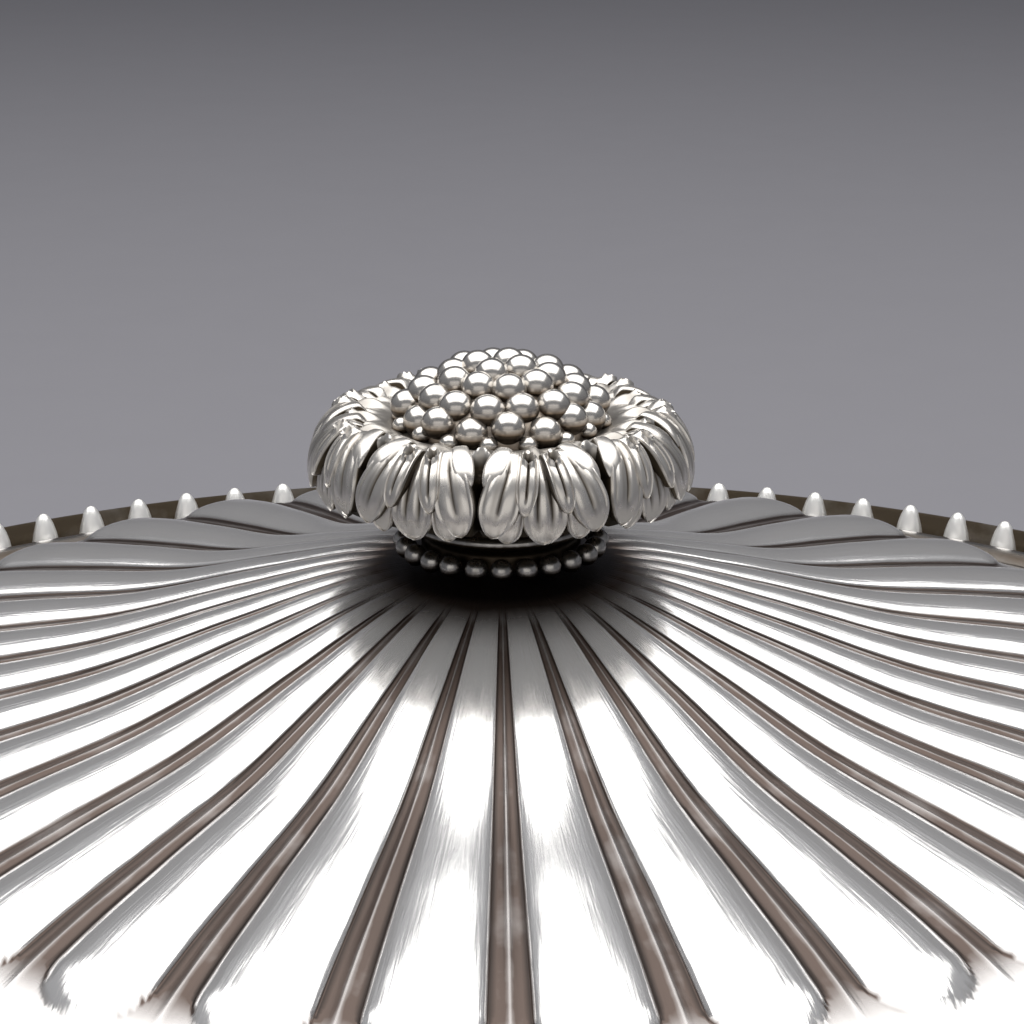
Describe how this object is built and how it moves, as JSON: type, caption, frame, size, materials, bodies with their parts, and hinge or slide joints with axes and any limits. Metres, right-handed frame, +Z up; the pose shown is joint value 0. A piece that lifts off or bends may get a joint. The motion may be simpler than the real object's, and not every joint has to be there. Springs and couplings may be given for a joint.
{
  "type": "sugar bowl",
  "caption": "Covered silver sugar bowl on a round foot, with a low lobed lid, a leaf and seed finial, a lobed rim and loop handles.",
  "frame": {"origin": "middle of the flat face that the foot stands on", "axes": "+Z up along the bowl's axis, +X through the right handle, -Y towards the front"},
  "size_m": [0.1926, 0.1382, 0.12],
  "materials": {
    "polished_silver": "polished sterling silver, bright with fine wear",
    "cast_silver": "cast and chased silver, dark tarnish in the hollows",
    "inside_silver": "satin silver with file marks, unpolished inner faces"
  },
  "bodies": {
    "bowl": {"bowl_body": "polished_silver", "belly_wire": "polished_silver", "foot_stem": "polished_silver", "foot_dome": "polished_silver", "base_ring": "polished_silver", "rim_border": "cast_silver", "foot_bead_ring": "cast_silver", "foot_border": "cast_silver", "handle_left": "cast_silver", "handle_right": "cast_silver", "handle_leaf_upper_left": "cast_silver", "handle_leaf_upper_right": "cast_silver", "handle_leaf_lower_left": "cast_silver", "handle_leaf_lower_right": "cast_silver"},
    "lid": {"lid_dome": "polished_silver", "lid_edge": "polished_silver", "lid_bezel": "inside_silver", "neck_bead_ring": "cast_silver", "finial_neck": "cast_silver", "neck_torus": "cast_silver", "leaf_collar": "cast_silver", "seed_cluster": "cast_silver", "finial_stud": "inside_silver", "finial_washer": "inside_silver", "finial_nut": "inside_silver"}
  },
  "joints": [
    {"name": "lid_lift", "type": "slide", "parent": "bowl", "child": "lid", "axis": [0, 0, 1], "range_m": [0, 0.08]}
  ]
}
